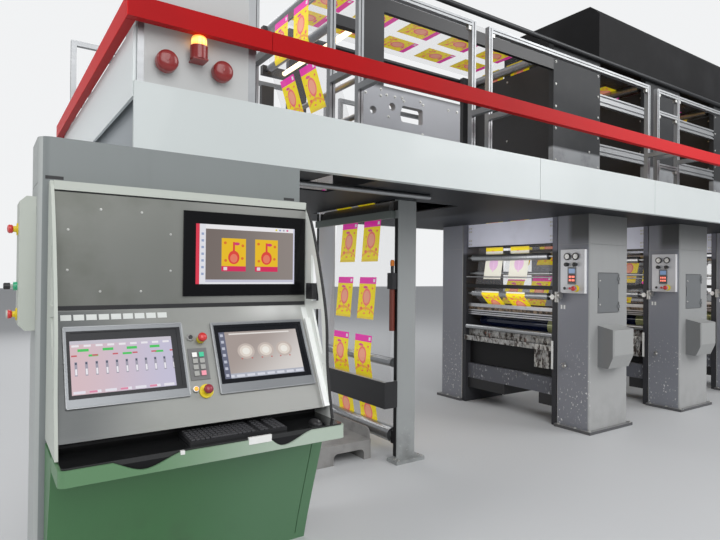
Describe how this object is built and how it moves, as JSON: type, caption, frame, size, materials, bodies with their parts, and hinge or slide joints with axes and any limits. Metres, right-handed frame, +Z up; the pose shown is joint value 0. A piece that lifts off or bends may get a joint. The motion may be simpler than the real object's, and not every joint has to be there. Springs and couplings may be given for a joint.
{
  "type": "gravure printing press",
  "caption": "Gravure printing press with an operator console, an outfeed bay and a row of printing units under a railed walkway deck.",
  "frame": {"origin": "on the floor under the middle of the first column of the operator side", "axes": "+X along the press away from the console, +Y into the press from the operator side, +Z up"},
  "size_m": [9.64, 3.545, 4.78],
  "materials": {
    "aluminium_profile": "anodised",
    "amber_lens": "clear amber",
    "black_paint": "satin",
    "black_plastic": "matt",
    "cast_gray": "cast",
    "copper_face": "ink film",
    "cream_paint": "satin",
    "dark_gray_paint": "satin",
    "dark_rubber": "matt",
    "gray_paint": "satin",
    "green_paint": "satin",
    "lamp_white": "glowing",
    "light_gray_paint": "satin",
    "pale_green_paint": "satin",
    "printed_film": "clear film with print",
    "red_paint": "satin",
    "red_plastic": "satin",
    "roller_steel": "polished",
    "screen_glass": "dark glass",
    "stainless": "brushed",
    "white_paint": "satin"
  },
  "bodies": {
    "press": {"air_and_drain_fittings": "black_plastic", "beacon_base": "red_plastic", "beacon_lens": "amber_lens", "columns": "gray_paint", "console_base": "green_paint", "console_body": "dark_gray_paint", "console_buttons": "black_plastic", "console_cabinet": "gray_paint", "console_frame": "cream_paint", "console_lip": "pale_green_paint", "console_panels": "stainless", "console_shelf": "black_paint", "cross_beams": "gray_paint", "deck_beams": "dark_gray_paint", "deck_end_wall": "white_paint", "deck_floors": "gray_paint", "doctor_blades": "stainless", "dryer_hoods": "dark_gray_paint", "end_cabinet": "white_paint", "fascia_panels": "white_paint", "frame_edge_trims": "dark_rubber", "guard_boxes": "gray_paint", "guard_frames": "aluminium_profile", "guide_rollers": "roller_steel", "hood_panels": "light_gray_paint", "horns": "red_plastic", "ink_trays": "stainless", "inspection_lamp": "lamp_white", "keyboard_and_mouse": "black_plastic", "outfeed_bars": "black_paint", "outfeed_base": "cast_gray", "outfeed_plates": "dark_gray_paint", "outfeed_posts": "gray_paint", "overhead_duct": "black_paint", "overview_screen": "screen_glass", "red_rail": "red_paint", "roller_brackets": "black_paint", "side_control_box": "cream_paint", "side_frames": "light_gray_paint", "soffit_plates": "dark_gray_paint", "soffit_tube": "aluminium_profile", "tie_bars": "aluminium_profile", "touch_panels": "screen_glass", "unit_bars": "black_paint", "unit_control_boxes": "stainless", "web": "printed_film", "web_sensor": "black_plastic"},
    "door_1": {"column_door_1": "gray_paint"},
    "cylinder_1": {"gravure_cylinder_1": "copper_face"},
    "impression_1": {"impression_roller_1": "dark_rubber"},
    "door_2": {"column_door_2": "gray_paint"},
    "cylinder_2": {"gravure_cylinder_2": "copper_face"},
    "impression_2": {"impression_roller_2": "dark_rubber"},
    "door_3": {"column_door_3": "gray_paint"},
    "cylinder_3": {"gravure_cylinder_3": "copper_face"},
    "impression_3": {"impression_roller_3": "dark_rubber"},
    "low_roller": {"outfeed_low_roller": "roller_steel"},
    "top_roller": {"outfeed_top_roller": "dark_rubber"}
  },
  "joints": [
    {"name": "door_1_hinge", "type": "hinge", "parent": "press", "child": "door_1", "pos_m": [0.174, -0.204, 1.4365], "axis": [0, 0, 1], "range_deg": [0, 110]},
    {"name": "cylinder_1_spin", "type": "hinge", "parent": "press", "child": "cylinder_1", "pos_m": [-0.06, 0.905, 1.03], "axis": [0, 1, 0], "continuous": true},
    {"name": "impression_1_spin", "type": "hinge", "parent": "press", "child": "impression_1", "pos_m": [-0.06, 0.905, 1.198], "axis": [0, 1, 0], "continuous": true},
    {"name": "door_2_hinge", "type": "hinge", "parent": "press", "child": "door_2", "pos_m": [1.994, -0.204, 1.4365], "axis": [0, 0, 1], "range_deg": [0, 110]},
    {"name": "cylinder_2_spin", "type": "hinge", "parent": "press", "child": "cylinder_2", "pos_m": [1.76, 0.905, 1.03], "axis": [0, 1, 0], "continuous": true},
    {"name": "impression_2_spin", "type": "hinge", "parent": "press", "child": "impression_2", "pos_m": [1.76, 0.905, 1.198], "axis": [0, 1, 0], "continuous": true},
    {"name": "door_3_hinge", "type": "hinge", "parent": "press", "child": "door_3", "pos_m": [3.814, -0.204, 1.4365], "axis": [0, 0, 1], "range_deg": [0, 110]},
    {"name": "cylinder_3_spin", "type": "hinge", "parent": "press", "child": "cylinder_3", "pos_m": [3.58, 0.905, 1.03], "axis": [0, 1, 0], "continuous": true},
    {"name": "impression_3_spin", "type": "hinge", "parent": "press", "child": "impression_3", "pos_m": [3.58, 0.905, 1.198], "axis": [0, 1, 0], "continuous": true},
    {"name": "low_roller_spin", "type": "hinge", "parent": "press", "child": "low_roller", "pos_m": [-2.46, 0.905, 0.194], "axis": [0, 1, 0], "continuous": true},
    {"name": "top_roller_spin", "type": "hinge", "parent": "press", "child": "top_roller", "pos_m": [-2.45, 0.905, 2.186], "axis": [0, 1, 0], "continuous": true}
  ]
}
